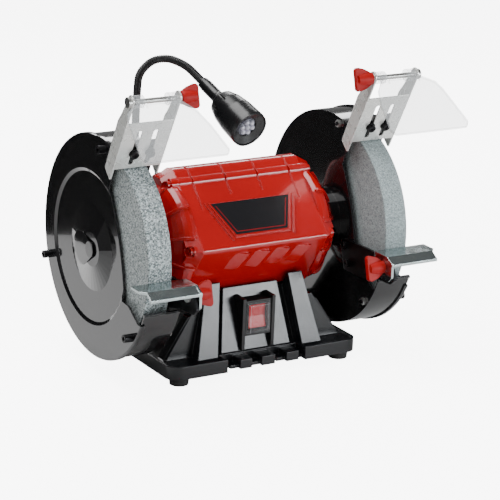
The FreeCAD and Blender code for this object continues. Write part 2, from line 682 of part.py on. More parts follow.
def eye_shield():
    """Clear plate with chamfered shoulders and two sleeves round the hinge bolt."""
    tilt = math.radians(SHIELD_TILT)
    way = V(0, -math.cos(tilt), -math.sin(tilt))
    normal = V(0, -math.sin(tilt), math.cos(tilt))
    centre = on_spark_plane(HINGE_R, HINGE_BACK)
    corners = [(111, 8.6), (158, 8.6), (170, 17), (173.5, 28), (179, 72), (174.5, 78.5), (92, 78.5),
               (88.5, 73), (94, 43), (100.5, 22)]
    points = [centre + V(x, 0, 0) + way * reach + normal * SHIELD_LIFT for x, reach in corners]
    sheet = plate(points, normal * SHIELD_SHEET, [2, 2, 4, 8, 3, 3, 3, 3, 20, 5])
    pieces = [sheet]
    top = SHIELD_LIFT + SHIELD_SHEET
    arm_side = ((0, 2.6), (0, top), (13, top), (13, SHIELD_LIFT), (10, 2.6))
    for x in SLEEVES_X:
        arm = [centre + V(x, 0, 0) + way * reach + normal * high for reach, high in arm_side]
        pieces += [hinge_bar(x, x + SLEEVE_W, 6.0), plate(arm, V(SLEEVE_W, 0, 0))]
    return join(*pieces).cut(hinge_bar(100, 165, HINGE_BOLT_R + RUNNING_GAP))


def wing_knob(centre, toward, reach, bore):
    """Moulded knob: round hub on the bolt and a flat wing that widens away from it."""
    length = KNOB_LENGTH
    hub = turned_at([(0, bore), (0, 6.0), (3, 6.4), (length * 0.55, 6.2), (length, 5.0), (length, 0),
                     (KNOB_HOLE, 0), (KNOB_HOLE, bore)], centre, toward)
    up = V(0, 0.25, 0.97).normalize()
    across = up.cross(toward)
    half = 2.4
    corners = [(1.5, -6), (1.5, 6), (length * 0.5, reach * 0.8), (length, reach), (length + 2.5, reach * 0.8),
               (length + 2.5, -reach * 0.8), (length, -reach), (length * 0.5, -reach * 0.8)]
    points = [centre + toward * along + up * rise - across * half for along, rise in corners]
    wing = plate(points, across * (2 * half), [0, 0, 3, 2.5, 2.5, 2.5, 2.5, 3])
    return join(hub, wing).cut(Part.makeCylinder(bore, KNOB_HOLE, centre, toward))


def shield_knob():
    start = on_spark_plane(HINGE_R, HINGE_BACK, SPARK_X0 - 1.8)
    return wing_knob(start, V(-1, 0, 0), 12.0, HINGE_BOLT_R + RUNNING_GAP)


def bracket_screws():
    """Screws with round heads and washers that clamp the spark plate's slots to the guard's tab."""
    screws = []
    for x in SPARK_SCREWS_X:
        back = spark_back()
        start = on_spark_plane(SPARK_SCREW_OUT, 0, x)
        washer = Part.makeCylinder(5.0, 1.0, start - back * 1.05, back)
        head = Part.makeCylinder(4.0, 3.4, start - back * 4.4, back)
        cross = [spark_box(x - 0.7, x + 0.7, SPARK_SCREW_OUT - 2.8, SPARK_SCREW_OUT + 2.8, -5, -3),
                 spark_box(x - 2.8, x + 2.8, SPARK_SCREW_OUT - 0.7, SPARK_SCREW_OUT + 0.7, -5, -3)]
        shank = Part.makeCylinder(2.0, 10.5, start - back * 2, back)
        nut = Part.makeCylinder(4.0, 3.0, start + back * 3.2, back)
        screws.append(join(washer, head, shank, nut).cut(Part.makeCompound(cross)))
    return screws


# Tool rests ----------------------------------------------------------------------------------

def rest_arm():
    """Black steel arm, screwed to the guard's inner plate, that carries the tool rest."""
    corners = [(-37, -13), (-80, -11.4), (-120, -11.4), (-129, -18), (-135, -30), (-128, -36), (-104, -37),
               (-76, -44), (-44, -44), (-38, -26)]
    arm = plate_x(corners, ARM_X0, GUARD_X0, 2.0)
    holes = [disc(ARM_X0 - 1, GUARD_X0 + 1, M4_R, y, z) for y, z in ARM_SCREWS]
    holes.append(disc(ARM_X0 - 1, GUARD_X0 + 1, REST_BOLT_R + 0.1, *REST_SCREW))
    return arm.cut(Part.makeCompound(holes))


def arm_screws():
    """Low-headed screws that hold the arm to the guard's plate, beside the end cap."""
    screws = []
    for y, z in ARM_SCREWS:
        head = disc(ARM_X0 - 2.6, ARM_X0, 3.8, y, z).cut(hexagon(ARM_X0 - 3, ARM_X0 - 1.2, 3.4, y, z))
        screws.append(join(head, disc(ARM_X0, GUARD_X0 + GUARD_SHEET + 2, 2.0, y, z)))
    return screws


def tool_rest():
    """Bent steel rest: level table, front edge turned down, and a slotted cheek beside the arm."""
    x0, x1 = SPARK_X0 - 1.2, 165.0
    top = [(x0, REST_BACK), (x1, REST_BACK), (x1, REST_BEND + 5), (x1 - 5, REST_BEND), (x0, REST_BEND)]
    table = plate([axis_point(y, REST_TOP - REST_SHEET, x) for x, y in top], V(0, 0, REST_SHEET))
    lip_side = [(REST_BEND, REST_TOP), (REST_BEND - 9.6, REST_TOP - 5.8), (REST_BEND - 9.6, REST_TOP - 8.4),
                (REST_BEND, REST_TOP - REST_SHEET)]
    lip = plate_x(lip_side, x0, x1 - 5)
    cheek_side = [(REST_BACK - 1, REST_TOP), (REST_BACK - 1, -26), (-109, -32.5), (-129, -32.5),
                  (-133.5, -28), (-133.5, -13), (REST_BEND, REST_TOP)]
    cheek = plate_x(cheek_side, x0, x0 + REST_SHEET)
    y, z = REST_SCREW
    half = REST_BOLT_R + 0.2
    y0, y1 = y - 0.5, y + REST_TRAVEL + 1
    straight = block(x0 - 1, x0 + 4, y0, y1, SHAFT_Z + z - half, SHAFT_Z + z + half)
    slot = join(straight, disc(x0 - 1, x0 + 4, half, y0, z), disc(x0 - 1, x0 + 4, half, y1, z))
    return join(table, lip, cheek).cut(slot)


def rest_bolt():
    """Bolt through the arm and the rest's slot, for the knob."""
    y, z = REST_SCREW
    head = disc(GUARD_X0, GUARD_X0 + 2.4, 6.0, y, z)
    return join(head, disc(SPARK_X0 - KNOB_HOLE - 0.8, GUARD_X0, REST_BOLT_R, y, z))


def rest_knob():
    y, z = REST_SCREW
    start = axis_point(y, z, SPARK_X0 - 1.4)
    return wing_knob(start, V(-1, 0, 0), 13.0, REST_BOLT_R + RUNNING_GAP)


# Base ----------------------------------------------------------------------------------------

def panel_y(height):
    """Front of the base's leaning middle panel at a height."""
    (y_low, z_low), (y_high, z_high) = PANEL_LOW, PANEL_HIGH
    return y_low + (y_high - y_low) * (height - z_low) / (z_high - z_low)


def base_ledge():
    """Flat foot all round, its front stepped back in the middle with three low blocks."""
    right = [(LEDGE_X, -LEDGE_Y), (LEDGE_X, LEDGE_Y)]
    left = [(-x, y) for x, y in reversed(right)]
    corners = [V(x, y, FOOT_H) for x, y in right + left]
    ledge = plate(corners, V(0, 0, LEDGE_TOP - FOOT_H), 13.0)
    ledge = ledge.cut(block(-44.5, 44.5, -LEDGE_Y - 1, -61.0, FOOT_H - 1, LEDGE_TOP + 1))
    teeth = []
    for x0, x1 in ((-28.0, -15.0), (-3.5, 11.5), (25.0, 39.0)):
        teeth.append(block(x0, x1, -76.5, -60.0, FOOT_H, LEDGE_TOP - 2.5))
        teeth.append(block(x0 - 9, x0, -72.0, -60.0, FOOT_H, LEDGE_TOP - 8.5))
    teeth.append(block(39.0, 44.5, -72.0, -60.0, FOOT_H, LEDGE_TOP - 8.5))
    rim = plate(corners, V(0, 0, LEDGE_TOP + 1.4 - FOOT_H), 13.0)
    inset = [V(x - math.copysign(2.4, x), y - math.copysign(2.4, y), 0) for x, y in right + left]
    dish = plate(inset, V(0, 0, 50), 10.6)
    rim = rim.cut(dish).cut(block(-44.5, 44.5, -LEDGE_Y - 1, -61.0, FOOT_H - 1, LEDGE_TOP + 5))
    return join(ledge, rim, *teeth)


def base_front():
    """What stands on the front of the base: middle panel, two leaning legs and the end gussets."""
    (y_low, z_low), (y_high, z_high) = PANEL_LOW, PANEL_HIGH
    pieces = [taper_block(z_low - 1, (-39.6, 39.6, y_low, -40), z_high, (-31, 31, y_high, -30))]
    leg = taper_block(z_low - 1, (48.5, 71.0, -67.0, -40), z_high + 9, (39.0, 55.0, -50.0, -30))
    gusset = plate([V(60, -50, 64), V(80, -50, 20), V(101, -50, 20), V(74, -50, 60)], V(0, 10, 0))
    slope = taper_block(19, (60.0, 100.0, -54.0, -40), 66, (54.0, 68.0, -50.0, -40))
    pieces += both(leg, gusset, slope)
    return pieces


def base_housing():
    """Hollow moulded base: ledge, tapered body with a saddle for the motor, legs and panels."""
    body = taper_block(19, (-76, 76, -50, 50), BASE_TOP + 12, (-58, 58, -31, 31))
    front = base_front()
    solid = join(base_ledge(), body, *(front + [to_back(piece) for piece in front]))
    saddle = motor_prism(-MOTOR_HALF, MOTOR_HALF, 3.2)
    flanges_room = both(motor_prism(MOTOR_HALF - 0.5, MOTOR_HALF + 30, 1.7))
    solid = solid.cut(saddle).cut(Part.makeCompound(flanges_room))
    hollow = taper_block(FOOT_H - 1, (-70, 70, -46, 46), 70, (-52, 52, -34, 34))
    solid = solid.cut(hollow.cut(block(-80, 80, -60, 60, 66, 90)))
    seat = block(-50, 50, -28, 28, 60, SHAFT_Z - 53.4)
    gland_boss = Part.makeCylinder(GLAND_FLANGE_R + 0.3, GLAND_Y - 44, V(GLAND_X, 44, GLAND_Z), V(0, 1, 0))
    solid = join(solid, seat.cut(block(-40, 40, -18, 18, 50, 70)), gland_boss)
    return solid.cut(Part.makeCompound(base_ways()))


def base_ways():
    """Everything bored into the base: bench and motor screws, the switch's window, the cable's way."""
    ways = [post(x, y, 0, LEDGE_TOP - 3, BENCH_HOLE_R) for x, y in foot_places()]
    ways += [post(x, y, 40, 80, 3.0) for x, y in motor_bolt_places()]
    ways.append(block(-12.0, 12.0, -70, -30, SWITCH_Z0 + 2.5, SWITCH_Z1 - 3.5))
    ways.append(Part.makeCylinder(GLAND_R + 0.02, 60, V(GLAND_X, 30, GLAND_Z), V(0, 1, 0)))
    ways.append(Part.makeCylinder(GLAND_FLANGE_R + 0.3, 20, V(GLAND_X, GLAND_Y, GLAND_Z), V(0, 1, 0)))
    floor = block(-74.4, 74.4, -48.4, 48.4, FOOT_H - 1, FOOT_H + 2.0)
    return ways + [floor]


def foot_places():
    return [(x, y) for x in (-BASE_FOOT_X, BASE_FOOT_X) for y in (-BASE_FOOT_Y, BASE_FOOT_Y)]


def motor_bolt_places():
    return [(x, y) for x in (-45.0, 45.0) for y in (-23.0, 23.0)]


def feet():
    """Rubber feet, each bored for a bench screw."""
    rubber = []
    for x, y in foot_places():
        foot = Part.makeCone(9.4, 10.4, FOOT_H, V(x, y, 0))
        rubber.append(foot.cut(post(x, y, -1, FOOT_H + 1, BENCH_HOLE_R)))
    return rubber


def bottom_plate():
    """Steel plate that closes the base from below."""
    sheet = block(-74.2, 74.2, -48.2, 48.2, FOOT_H, FOOT_H + 1.5)
    ways = [post(x, y, 0, 20, 2.1) for x in (-72.0, 72.0) for y in (-44.0, 44.0)]
    vents = [block(x - 2, x + 2, -18, 18, 0, 20) for x in (-20, -8, 4, 16, 28)]
    return sheet.cut(Part.makeCompound(vents)).cut(Part.makeCompound(ways))


def motor_bolts():
    """Four bolts from inside the base up into the motor's floor."""
    bolts = []
    top = SHAFT_Z - 53.4
    for x, y in motor_bolt_places():
        bolts.append(join(post(x, y, 55.5, top, 2.9), post(x, y, 55.5, 59.8, 5.4)))
    return bolts


def cable_gland():
    """Flanged gland for the supply lead, at the back of the base."""
    seat = V(GLAND_X, GLAND_Y, GLAND_Z)
    side = [(-14, CABLE_BORE_R), (-14, GLAND_R), (0, GLAND_R), (0, GLAND_FLANGE_R), (3, GLAND_FLANGE_R)]
    gland = turned_at(side + [(3, CABLE_BORE_R)], seat, V(0, 1, 0))
    nozzle_side = [(3, CABLE_BORE_R), (3, 7.6), (16, 6.2), (17, 5.4), (17, CABLE_BORE_R)]
    return join(gland, turned_at(nozzle_side, seat, V(0, 1, 0)))


# Switch --------------------------------------------------------------------------------------

def switch_bezel():
    """Black frame round the switch with a tapering cheek down each side."""
    low, high = SWITCH_Z0 - 1, SWITCH_Z1 + 1
    frame = block(-15.0, 15.0, SWITCH_FRONT, -44.0, SWITCH_Z0, SWITCH_Z1)
    frame = frame.cut(taper_block(low, (-16, 16, panel_y(low), -20), high, (-16, 16, panel_y(high), -20)))
    cheeks = []
    for x in (-18.4, 15.0):
        corners = [V(x, SWITCH_FRONT - 2.0, 74), V(x, SWITCH_FRONT - 1.0, 21), V(x, panel_y(21), 21),
                   V(x, panel_y(74.5), 74.5)]
        cheeks.append(plate(corners, V(3.4, 0, 0)))
    box = block(-11.8, 11.8, SWITCH_FRONT + 1, -34.0, SWITCH_Z0 + 2.7, SWITCH_Z1 - 3.7)
    opening = block(-10.6, 10.6, -70, -38.0, SWITCH_Z0 + 4.2, SWITCH_Z1 - 4.5)
    pin_way = Part.makeCylinder(ROCKER_PIN_R, 26.0, V(-13, ROCKER_Y, ROCKER_Z), V(1, 0, 0))
    return join(frame, box, *cheeks).cut(opening).cut(pin_way)


def switch_rocker():
    """Rocker key with two shallow faces that meet at its middle, tipped to one side."""
    upper = [(-55.6, ROCKER_Z), (-57.2, ROCKER_Z + 12.1), (-54.4, ROCKER_Z + 12.1), (-48.0, ROCKER_Z + 4)]
    lower = [(y, 2 * ROCKER_Z - z) for y, z in reversed(upper[1:])]
    points = [V(-10.2, y, z) for y, z in upper + lower]
    key = plate(points, V(20.4, 0, 0), [0] + [0.6] * 6)
    key.rotate(V(0, ROCKER_Y, ROCKER_Z), V(1, 0, 0), ROCKER_REST)
    return key.cut(Part.makeCylinder(ROCKER_PIN_R + RUNNING_GAP, 30, V(-15, ROCKER_Y, ROCKER_Z), V(1, 0, 0)))


def rocker_pin():
    return Part.makeCylinder(ROCKER_PIN_R, 23.0, V(-11.5, ROCKER_Y, ROCKER_Z), V(1, 0, 0))


def switch_cover():
    """Clear moulded hood over the rocker, snapped into the frame."""
    outside = taper_block(0, (-12.6, 12.6, -15.6, 15.6), 4.6, (-11.0, 11.0, -14.0, 14.0))
    inside = taper_block(-1, (-11.8, 11.8, -14.8, 14.8), 3.4, (-10.1, 10.1, -13.1, 13.1))
    hood = outside.cut(inside)
    hood.rotate(V(0, 0, 0), V(1, 0, 0), 90)
    hood.translate(V(0, SWITCH_FRONT, ROCKER_Z))
    return hood


# Lamp ----------------------------------------------------------------------------------------

def lamp_socket():
    """Moulded socket on the back corner of the left end cap, that the neck stands in."""
    root = NECK_ROUTE[0]
    way = (NECK_ROUTE[1] - NECK_ROUTE[0]).normalize()
    tower = turned_at([(-34, 0), (-34, 11), (-4, 8.6), (6, 7.6), (8, 6.6), (8, 0)], root, way)
    foot = plate([V(x, y, 0) for x, y in ((-70.6, 38), (-90, 38), (-90, 74), (-70.6, 74))], V(0, 0, 158), 0)
    foot = foot.cut(block(-100, -60, 0, 100, -1, 138))
    body = join(tower, foot)
    cap_room = other_side(end_cap_form())
    housing_room = other_side(motor_prism(MOTOR_HALF - 20, MOTOR_HALF, 3.6))
    way_for_neck = Part.makeCylinder(NECK_R + RUNNING_GAP, 30, root, way)
    return body.cut(cap_room).cut(housing_room).cut(way_for_neck)


def neck():
    """Flexible metal neck: straight runs joined by arcs as wide as the runs allow."""
    edges = []
    start = NECK_ROUTE[0]
    radii = []
    for before, corner, after in zip(NECK_ROUTE, NECK_ROUTE[1:], NECK_ROUTE[2:]):
        back, onward = before - corner, after - corner
        half = back.getAngle(onward) / 2
        reach = 0.45 * min(back.Length, onward.Length)
        radius = reach * math.tan(half)
        radii.append(round(radius, 1))
        back.normalize()
        onward.normalize()
        middle = corner + (back + onward).normalize() * (radius / math.sin(half) - radius)
        edges.append(Part.LineSegment(start, corner + back * reach).toShape())
        edges.append(Part.Arc(corner + back * reach, middle, corner + onward * reach).toShape())
        start = corner + onward * reach
    edges.append(Part.LineSegment(start, NECK_ROUTE[-1]).toShape())
    path = Part.Wire(edges)
    way = (NECK_ROUTE[1] - NECK_ROUTE[0]).normalize()
    section = Part.Wire(Part.makeCircle(NECK_R, NECK_ROUTE[0], way))
    tube = path.makePipeShell([section], True, False)
    print("neck radii", radii, "volume ratio", tube.Volume / (math.pi * NECK_R ** 2 * path.Length))
    return tube


def lamp_collar():
    """Ferrule that fits over the neck's end and carries the lamp's head."""
    socket = NECK_R + 0.3
    outside = [(-4, socket), (-4, 5.6), (2, 6.2), (21, 6.2), (23, 7.2), (HEAD_START, 7.2), (HEAD_START, 0)]
    return turned_at(outside + [(0.2, 0), (0.2, socket)], NECK_ROUTE[-1], HEAD_WAY)


def lamp_head():
    """Bell-shaped head with cooling slots round its shoulder and a recess for the lens."""
    outside = [(HEAD_START, 0), (HEAD_START, 8), (30, 13), (40, 16.2), (54, 18.2), (74, 19), (HEAD_END, 18.6)]
    inside = [(HEAD_END, 17.6), (HEAD_END - 1.4, 17), (HEAD_END - 4.4, 9.8), (BOARD_AT, 9.8), (BOARD_AT, 0)]
    shell = turned_at(outside + inside, NECK_ROUTE[-1], HEAD_WAY)
    slot = Part.makeBox(1.8, 5, 15)
    slot.translate(V(-0.9, 12.0, 28))
    slots = []
    for step in range(8):
        one = slot.copy()
        one.rotate(V(0, 0, 0), V(0, 0, 1), 45 * step)
        on_head = FreeCAD.Placement(NECK_ROUTE[-1], FreeCAD.Rotation(V(0, 0, 1), HEAD_WAY))
        one.Placement = on_head.multiply(one.Placement)
        slots.append(one)
    return shell.cut(Part.makeCompound(slots))


def lamp_board():
    """Round board that carries the diodes."""
    side = [(BOARD_AT, 0), (BOARD_AT, BOARD_R), (BOARD_AT + BOARD_W, BOARD_R), (BOARD_AT + BOARD_W, 0)]
    return turned_at(side, NECK_ROUTE[-1], HEAD_WAY)


def lamp_diodes():
    """Seven clear domed diodes: one in the middle and six round it."""
    diodes = []
    spin = FreeCAD.Rotation(V(0, 0, 1), HEAD_WAY)
    turns = [math.radians(60 * step) for step in range(6)]
    places = [V(0, 0, 0)] + [V(DIODE_RING * math.cos(a), DIODE_RING * math.sin(a), 0) for a in turns]
    for place in places:
        base = NECK_ROUTE[-1] + HEAD_WAY * (BOARD_AT + BOARD_W) + spin.multVec(place)
        shoulder = base + HEAD_WAY * 1.8
        can = Part.makeCylinder(DIODE_R, 1.8, base, HEAD_WAY)
        dome = Part.makeSphere(DIODE_R, shoulder).common(Part.makeCylinder(3, 3, shoulder, HEAD_WAY))
        diodes.append(join(can, dome))
    return diodes


def run_capacitor():
    return Part.makeCylinder(15.0, 60.0, V(-5, 22, 28), V(1, 0, 0))


def terminal_block():
    body = block(-60, -30, -30, -14, 12, 24)
    ways = [post(x, -22, 20, 30, 2.2) for x in (-54, -45, -36)]
    return body.cut(Part.makeCompound(ways))


def write_all():
    os.makedirs("parts", exist_ok=True)
    save("base_housing", base_housing())
    save("bottom_plate", bottom_plate())
    save("rubber_feet", *feet())
    save("motor_bolts", *motor_bolts())
    save("cable_gland", cable_gland())
    save("run_capacitor", run_capacitor())
    save("terminal_block", terminal_block())
    save("switch_bezel", switch_bezel())
    save("switch_rocker", switch_rocker())
    save("rocker_pin", rocker_pin())
    save("switch_cover", switch_cover())
    save("motor_housing", motor_housing())
    save("label_panel", on_slope(LABEL, -LABEL_DEEP, 0.3))
    save_sides("end_cap", end_cap())
    save("end_cap_screws", *both(*cap_screws()))
    save("stator_core", stator_core())
    save("stator_windings", stator_windings())
    outer, inner = bearing_rings()
    save("bearing_outer_rings", *both(outer))
    save("bearing_inner_rings", *both(inner))
    save("bearing_balls", *both(*bearing_balls()))
    save("bearing_cages", *both(bearing_cage()))
    save("shaft", shaft())
    save("rotor_core", rotor_core())
    save_sides("wheel", wheel())
    save("wheel_flanges", *both(*flanges()))
    save("paper_blotters", *both(*blotters()))
    save("arbor_nuts", *both(arbor_nut()))
    save_sides("guard", guard())
    save_sides("guard_cover", cover())
    save("cover_screws", *both(*cover_screws()))
    save("cover_nuts", *both(*cover_nuts()))
    save("cover_spacers", *both(*cover_spacers()))
    save("guard_screws", *both(*guard_screws()))
    save("bracket_screws", *both(*bracket_screws()))
    save_sides("spark_bracket", spark_bracket())
    save_sides("hinge_bolt", hinge_bolt())
    save_sides("eye_shield", eye_shield())
    save_sides("shield_knob", shield_knob())
    save_sides("rest_arm", rest_arm())
    save("arm_screws", *both(*arm_screws()))
    save_sides("tool_rest", tool_rest())
    save("rest_bolts", *both(rest_bolt()))
    save_sides("rest_knob", rest_knob())
    save("lamp_socket", lamp_socket())
    save("lamp_neck", neck())
    save("lamp_collar", lamp_collar())
    save("lamp_head", lamp_head())
    save("lamp_board", lamp_board())
    save("lamp_diodes", *lamp_diodes())


write_all()
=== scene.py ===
import bpy
import math
from mathutils import Matrix, Vector


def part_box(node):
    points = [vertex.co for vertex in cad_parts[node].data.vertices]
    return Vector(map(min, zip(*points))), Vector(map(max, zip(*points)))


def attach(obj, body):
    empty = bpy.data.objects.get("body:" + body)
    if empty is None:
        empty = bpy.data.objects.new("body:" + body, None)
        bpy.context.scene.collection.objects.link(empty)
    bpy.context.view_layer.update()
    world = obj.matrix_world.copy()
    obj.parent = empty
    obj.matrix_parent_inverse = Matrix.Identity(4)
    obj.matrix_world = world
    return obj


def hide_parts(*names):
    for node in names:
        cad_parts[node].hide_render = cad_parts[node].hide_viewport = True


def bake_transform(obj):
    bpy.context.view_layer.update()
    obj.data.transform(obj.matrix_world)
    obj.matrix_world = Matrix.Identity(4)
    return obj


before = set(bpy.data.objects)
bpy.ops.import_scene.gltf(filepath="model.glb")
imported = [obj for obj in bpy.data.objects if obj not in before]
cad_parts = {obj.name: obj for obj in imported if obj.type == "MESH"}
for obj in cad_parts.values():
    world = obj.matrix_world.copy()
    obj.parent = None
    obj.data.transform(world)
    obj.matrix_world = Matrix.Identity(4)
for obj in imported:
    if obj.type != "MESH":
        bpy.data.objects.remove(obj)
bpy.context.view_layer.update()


# Bench top and studio -------------------------------------------------------------------------
# A pale matt table and backdrop, both lifted towards white where they are seen directly. Soft
# boxes stand overhead and at both front corners, with a strip behind for the rims, and a dark
# card stands where the gloss paint of the left cover mirrors it.

CAMERA_PLACE = (-1.077, -1.836, 0.7575)
CAMERA_AIM = (0.024, 0.0, 0.1026)
CAMERA_ROLL = math.radians(1.94)
TABLE_HALF = 6.0
TABLE_LEVEL = -0.0002      # just under the rubber feet
TABLE_LIFT = 7.0
BACKDROP_LIFT = 8.0
ROOM_GLOW = 0.2
DRAWN_CREASE = math.radians(35)      # a sharper fold stays a hard edge


def new_material(name, colour, roughness, metallic=0.0):
    """A named material with its shader's plain values set, its node tree and its shader."""
    made = bpy.data.materials.new(name)
    made.use_nodes = True
    shader = made.node_tree.nodes["Principled BSDF"]
    shader.inputs["Base Color"].default_value = (*colour, 1)
    shader.inputs["Roughness"].default_value = roughness
    shader.inputs["Metallic"].default_value = metallic
    return made, made.node_tree, shader


def mesh_piece(name, points, faces, finish, smooth=True):
    """A mesh object from points in metres and faces, with one material."""
    mesh = bpy.data.meshes.new(name)
    mesh.from_pydata([tuple(p) for p in points], [], faces)
    mesh.materials.append(finish)
    mesh.update()
    if smooth:
        mesh.shade_smooth()
        mesh.set_sharp_from_angle(angle=DRAWN_CREASE)
    made = bpy.data.objects.new(name, mesh)
    bpy.context.scene.collection.objects.link(made)
    return made


def aim(thing, place, at, roll=0.0):
    """Puts a light or camera at place, looking at a point, turned by roll about its own axis."""
    back = (Vector(place) - Vector(at)).normalized()
    right = Vector((0, 0, 1)).cross(back).normalized()
    up = back.cross(right)
    turned_right = right * math.cos(roll) + up * math.sin(roll)
    turned_up = up * math.cos(roll) - right * math.sin(roll)
    thing.matrix_world = Matrix((
        (turned_right.x, turned_up.x, back.x, place[0]),
        (turned_right.y, turned_up.y, back.y, place[1]),
        (turned_right.z, turned_up.z, back.z, place[2]),
        (0, 0, 0, 1)))


def soft_box(name, place, at, width, height, power, colour=(1, 1, 1)):
    """A rectangular light of this size in metres and power in watts, turned towards a point."""
    lamp = bpy.data.lights.new(name, "AREA")
    lamp.shape = "RECTANGLE"
    lamp.size = width
    lamp.size_y = height
    lamp.energy = power
    lamp.color = colour
    made = bpy.data.objects.new(name, lamp)
    bpy.context.scene.collection.objects.link(made)
    aim(made, place, at)


camera = bpy.data.objects.new("camera", bpy.data.cameras.new("camera"))
bpy.context.scene.collection.objects.link(camera)
camera.data.sensor_width = 36
camera.data.lens = 159.5
camera.data.clip_end = 50
aim(camera, CAMERA_PLACE, CAMERA_AIM, CAMERA_ROLL)
bpy.context.scene.camera = camera

table_finish, tree, shader = new_material("table_top", (0.93, 0.93, 0.93), 0.6)
noise = tree.nodes.new("ShaderNodeTexNoise")
noise.inputs["Scale"].default_value = 40
ramp = tree.nodes.new("ShaderNodeMapRange")
ramp.inputs["To Min"].default_value = 0.55
ramp.inputs["To Max"].default_value = 0.65
tree.links.new(noise.outputs["Fac"], ramp.inputs["Value"])
tree.links.new(ramp.outputs["Result"], shader.inputs["Roughness"])
shader.inputs["Emission Color"].default_value = (1, 1, 1, 1)
seen = tree.nodes.new("ShaderNodeLightPath")
lift = tree.nodes.new("ShaderNodeMath")
lift.operation = "MULTIPLY"
lift.inputs[1].default_value = TABLE_LIFT
tree.links.new(seen.outputs["Is Camera Ray"], lift.inputs[0])
tree.links.new(lift.outputs[0], shader.inputs["Emission Strength"])
table_corners = [(x * TABLE_HALF, y * TABLE_HALF, TABLE_LEVEL)
                 for x, y in ((-1, -1), (1, -1), (1, 1), (-1, 1))]
table = mesh_piece("table_top", table_corners, [(0, 1, 2, 3)], table_finish, False)

card_finish, tree, shader = new_material("dark_card", (0.01, 0.01, 0.01), 0.9)
across, along, tall = Vector((0.86, 0.51, 0)), Vector((-0.51, 0.86, 0)), Vector((0, 0, 1.0))
foot = Vector((-0.152, 0, 0)) + along * 0.46
card_left, card_right = foot - across * 0.4, foot + across * 0.3
card_corners = [card_left, card_right, card_right + tall, card_left + tall]
card = mesh_piece("dark_card", card_corners, [(0, 1, 2, 3)], card_finish, False)
card.visible_camera = False
card.visible_diffuse = False
card.visible_shadow = False
card.visible_transmission = False

soft_box("overhead_box", (-0.35, 0.1, 1.5), (0, 0, 0.1), 1.3, 1.0, 29)
soft_box("front_right_box", (0.85, -1.5, 0.33), (0, 0, 0.1), 0.8, 0.4, 17, (0.93, 0.97, 1.0))
soft_box("front_left_box", (-1.3, -0.9, 1.1), (0, 0, 0.1), 0.6, 0.6, 6)
soft_box("back_strip", (0.5, 1.2, 0.9), (0, 0, 0.15), 1.2, 0.3, 9)

world = bpy.data.worlds.new("studio")
bpy.context.scene.world = world
world.use_nodes = True
tree = world.node_tree
glow = tree.nodes["Background"]
glow.inputs["Color"].default_value = (1, 1, 1, 1)
glow.inputs["Strength"].default_value = ROOM_GLOW
backdrop = tree.nodes.new("ShaderNodeBackground")
backdrop.inputs["Color"].default_value = (1, 1, 1, 1)
backdrop.inputs["Strength"].default_value = BACKDROP_LIFT
seen = tree.nodes.new("ShaderNodeLightPath")
mix = tree.nodes.new("ShaderNodeMixShader")
tree.links.new(seen.outputs["Is Camera Ray"], mix.inputs[0])
tree.links.new(glow.outputs[0], mix.inputs[1])
tree.links.new(backdrop.outputs[0], mix.inputs[2])
tree.links.new(mix.outputs[0], tree.nodes["World Output"].inputs["Surface"])


# Base housing and black moulded fittings ------------------------------------------------------
# Injection-moulded black nylon with a fine spark-eroded skin: the base that the motor bolts down
# on, and the gland, switch frame, lamp socket, terminal block and capacitor that clip or screw on.

def new_group(name, inputs, outputs):
    """An empty shader group with its sockets, each given as (name, kind, default)."""
    group = bpy.data.node_groups.new(name, "ShaderNodeTree")
    for label, kind, value in inputs:
        socket = group.interface.new_socket(name=label, in_out="INPUT", socket_type=kind)
        socket.default_value = value
    for label, kind in outputs:
        group.interface.new_socket(name=label, in_out="OUTPUT", socket_type=kind)
    return group, group.nodes.new("NodeGroupInput"), group.nodes.new("NodeGroupOutput")


def put(tree, kind, **values):
    """Adds a node and sets its named inputs; a value that is a socket is linked."""
    node = tree.nodes.new(kind)
    for label, value in values.items():
        socket = node.inputs[label.replace("_", " ")]
        if isinstance(value, bpy.types.NodeSocket):
            tree.links.new(value, socket)
        else:
            socket.default_value = value
    return node


def calculate(tree, operation, *values):
    """Adds a sum or other operation on numbers and sockets."""
    node = tree.nodes.new("ShaderNodeMath")
    node.operation = operation
    for index, value in enumerate(values):
        if isinstance(value, bpy.types.NodeSocket):
            tree.links.new(value, node.inputs[index])
        else:
            node.inputs[index].default_value = value
    return node.outputs[0]


def spread(tree, value, low, high, start=0.0, end=1.0):
    """Maps a 0 to 1 value onto a range."""
    node = tree.nodes.new("ShaderNodeMapRange")
    tree.links.new(value, node.inputs["Value"])
    node.inputs["From Min"].default_value = start
    node.inputs["From Max"].default_value = end
    node.inputs["To Min"].default_value = low
    node.inputs["To Max"].default_value = high
    return node.outputs["Result"]


def blend_colour(tree, mask, first, second):
    """Goes from the first colour to the second as the mask goes from 0 to 1."""
    node = tree.nodes.new("ShaderNodeMix")
    node.data_type = "RGBA"
    tree.links.new(mask, node.inputs[0])
    for colour, index in ((first, 6), (second, 7)):
        if isinstance(colour, bpy.types.NodeSocket):
            tree.links.new(colour, node.inputs[index])
        else:
            node.inputs[index].default_value = (*colour, 1)
    return node.outputs[2]


